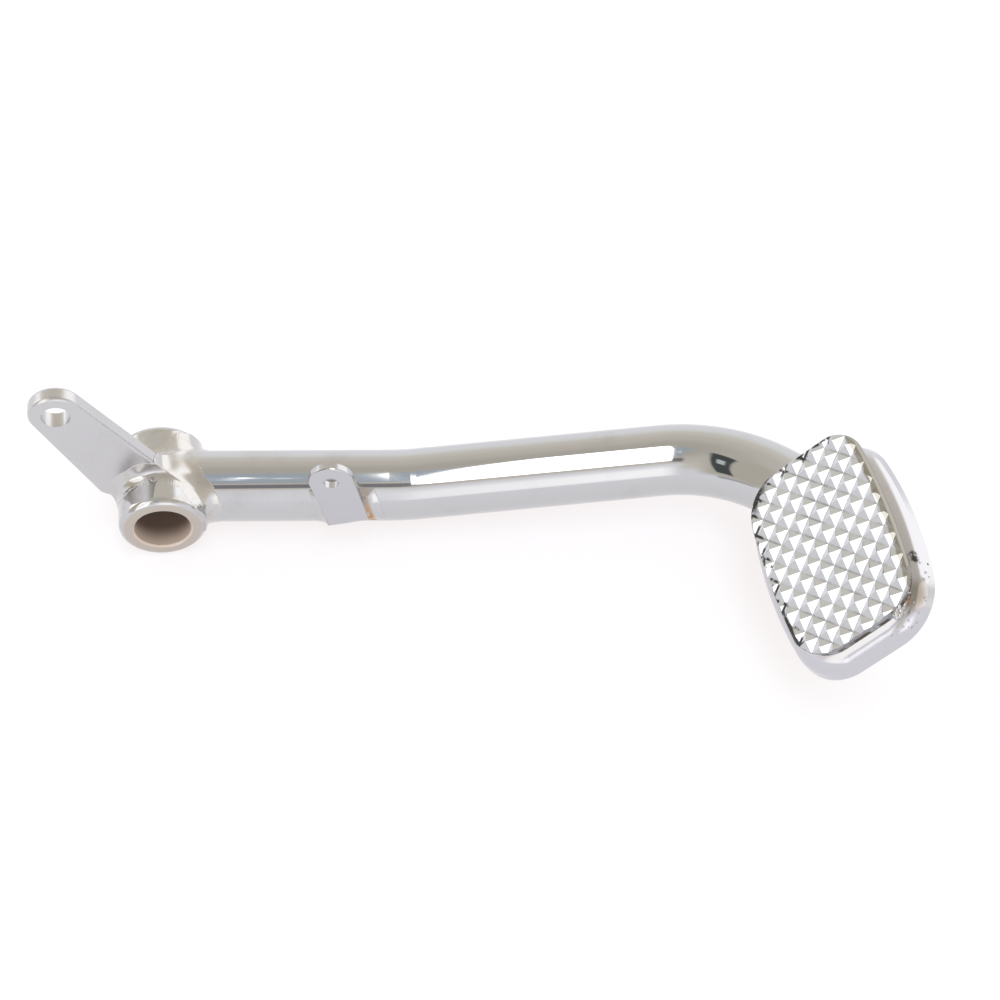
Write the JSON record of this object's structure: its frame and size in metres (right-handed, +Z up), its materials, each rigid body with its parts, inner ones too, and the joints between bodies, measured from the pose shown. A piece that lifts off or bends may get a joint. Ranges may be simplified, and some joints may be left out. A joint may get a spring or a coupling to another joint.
{
  "type": "rear brake pedal",
  "caption": "Chrome-plated tube lever with a pivot sleeve, a brake rod arm, a switch tab and a cranked foot pad with a pyramid tread.",
  "frame": {"origin": "middle of the pivot bore", "axes": "+Y along the pivot bore, inboard; +X forward, from the pivot towards the pad; +Z up"},
  "size_m": [0.2194, 0.1001, 0.0557],
  "materials": {
    "plated_steel": "bright chrome plating with light wear",
    "plated_pad": "chrome plating with small pits",
    "plated_tread": "bright chrome plating on coined pyramids",
    "rusty_weld": "thinly plated weld with brown rust"
  },
  "bodies": {
    "root": {"pivot_boss": "plated_steel", "lever_tube": "plated_steel", "boss_weld": "plated_steel", "brake_rod_arm": "plated_steel", "arm_weld_front": "plated_steel", "arm_weld_back": "plated_steel", "switch_tab": "plated_steel", "tab_weld": "rusty_weld", "pad_shell": "plated_pad", "pad_weld_front": "rusty_weld", "pad_weld_rear": "rusty_weld", "tread_plate": "plated_tread", "tread_tack": "plated_tread"}
  },
  "joints": []
}
